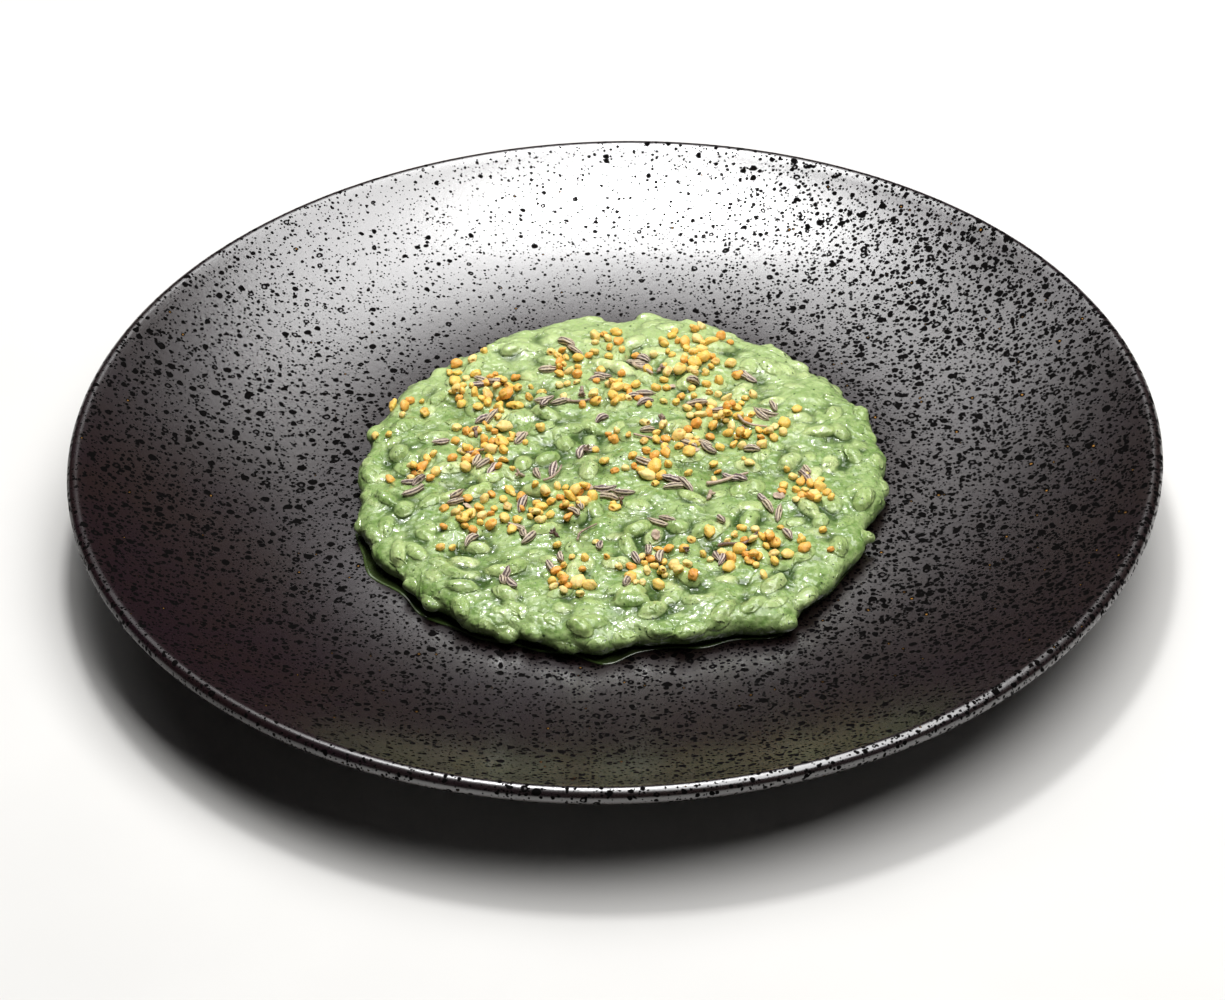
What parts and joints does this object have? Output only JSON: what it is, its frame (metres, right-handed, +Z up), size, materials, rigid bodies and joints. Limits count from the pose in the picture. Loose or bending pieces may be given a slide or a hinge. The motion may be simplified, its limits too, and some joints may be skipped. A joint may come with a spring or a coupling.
{
  "type": "herb risotto on a plate",
  "caption": "Low round mound of creamy green herb risotto strewn with bee pollen and fennel seeds, on a dark speckled coupe plate with a foot ring.",
  "frame": {"origin": "middle of the foot ring's resting face", "axes": "+Z up; +Y away from the side that the dish is seen from; +X to the right as seen from there"},
  "size_m": [0.28, 0.28, 0.027],
  "materials": {
    "dark_glaze": "satin",
    "herb_risotto": "gloss"
  },
  "bodies": {
    "root": {"plate": "dark_glaze", "risotto": "herb_risotto"}
  },
  "joints": []
}
